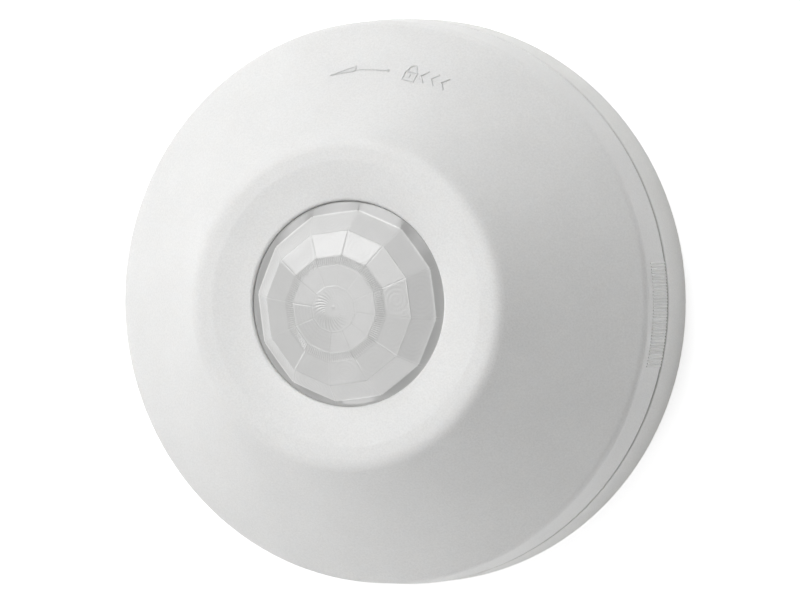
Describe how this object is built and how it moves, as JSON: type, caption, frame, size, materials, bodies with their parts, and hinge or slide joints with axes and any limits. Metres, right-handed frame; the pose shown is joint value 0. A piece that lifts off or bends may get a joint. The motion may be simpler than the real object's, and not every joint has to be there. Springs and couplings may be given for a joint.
{
  "type": "ceiling motion sensor",
  "caption": "Round ceiling motion sensor: faceted infrared lens in a conical press-on cover, on a head that twist-locks to a screwed base.",
  "frame": {"origin": "centre of the base's flat back, which lies against the ceiling box", "axes": "+Z out through the lens, +Y towards the turn mark on the cover, +X towards one grip patch"},
  "size_m": [0.1142, 0.1142, 0.0469],
  "materials": {
    "cover_plastic": "fine moulded texture",
    "base_plastic": "fine moulded texture",
    "chassis_plastic": "moulded, satin",
    "lens_plastic": "milky, softly translucent",
    "holder_plastic": "moulded, satin",
    "board_green": "solder mask",
    "contact_brass": "rolled strip",
    "screw_steel": "zinc plated",
    "can_metal": "nickel plated",
    "window_filter": "dark infrared filter",
    "spacer_black": "moulded",
    "led_red": "clear tinted",
    "photocell_clay": "lacquered",
    "relay_case": "moulded",
    "film_case": "potted box",
    "can_sleeve": "shrunk sleeve",
    "varistor_blue": "dipped",
    "fuse_brown": "moulded",
    "ferrite": "ground ferrite",
    "winding_copper": "enamelled copper",
    "chip_black": "moulded",
    "small_parts": "fired",
    "pot_case": "moulded",
    "knob_white": "moulded",
    "switch_case": "moulded",
    "slider_white": "moulded"
  },
  "bodies": {
    "base": {"mounting_base": "base_plastic", "contact_plates": "contact_brass", "clamp_washers": "screw_steel", "terminal_screws": "screw_steel"},
    "cover": {"front_cover": "cover_plastic"},
    "time_knob": {"time_knob": "knob_white"},
    "range_knob": {"range_knob": "knob_white"},
    "light_knob": {"light_knob": "knob_white"},
    "dip_slider_1": {"dip_slider_1": "slider_white"},
    "dip_slider_2": {"dip_slider_2": "slider_white"},
    "dip_slider_3": {"dip_slider_3": "slider_white"},
    "dip_slider_4": {"dip_slider_4": "slider_white"},
    "head": {"sensor_chassis": "chassis_plastic", "contact_blades": "contact_brass", "circuit_board": "board_green", "board_screws": "screw_steel", "holder_screws": "screw_steel", "lens_holder": "holder_plastic", "lens_retainer": "holder_plastic", "fresnel_lens": "lens_plastic", "pyro_sensor": "can_metal", "pyro_window": "window_filter", "sensor_spacer": "spacer_black", "motion_led": "led_red", "photocell": "photocell_clay", "relay": "relay_case", "film_capacitor": "film_case", "electrolytic_capacitor": "can_sleeve", "varistor": "varistor_blue", "fuse": "fuse_brown", "choke_core": "ferrite", "choke_winding": "winding_copper", "microcontroller": "chip_black", "chip_parts": "small_parts", "dip_switch": "switch_case", "time_pot": "pot_case", "range_pot": "pot_case", "light_pot": "pot_case"}
  },
  "joints": [
    {"name": "head_twist", "type": "hinge", "parent": "base", "child": "head", "pos_m": [0, 0, 0], "axis": [0, 0, 1], "range_deg": [0, 16]},
    {"name": "cover_lift", "type": "slide", "parent": "head", "child": "cover", "axis": [0, 0, 1], "range_m": [0, 0.05]},
    {"name": "time_turn", "type": "hinge", "parent": "head", "child": "time_knob", "pos_m": [-0.0357, 0.00759, 0.0214], "axis": [0, 0, 1], "range_deg": [-135, 135]},
    {"name": "range_turn", "type": "hinge", "parent": "head", "child": "range_knob", "pos_m": [-0.03623, -0.00445, 0.0214], "axis": [0, 0, 1], "range_deg": [-135, 135]},
    {"name": "light_turn", "type": "hinge", "parent": "head", "child": "light_knob", "pos_m": [-0.03281, -0.016, 0.0214], "axis": [0, 0, 1], "range_deg": [-135, 135]},
    {"name": "dip_slide_1", "type": "slide", "parent": "head", "child": "dip_slider_1", "axis": [-0.829, 0.5592, 0], "range_m": [0, 0.0016]},
    {"name": "dip_slide_2", "type": "slide", "parent": "head", "child": "dip_slider_2", "axis": [-0.829, 0.5592, 0], "range_m": [0, 0.0016]},
    {"name": "dip_slide_3", "type": "slide", "parent": "head", "child": "dip_slider_3", "axis": [-0.829, 0.5592, 0], "range_m": [0, 0.0016]},
    {"name": "dip_slide_4", "type": "slide", "parent": "head", "child": "dip_slider_4", "axis": [-0.829, 0.5592, 0], "range_m": [0, 0.0016]}
  ]
}
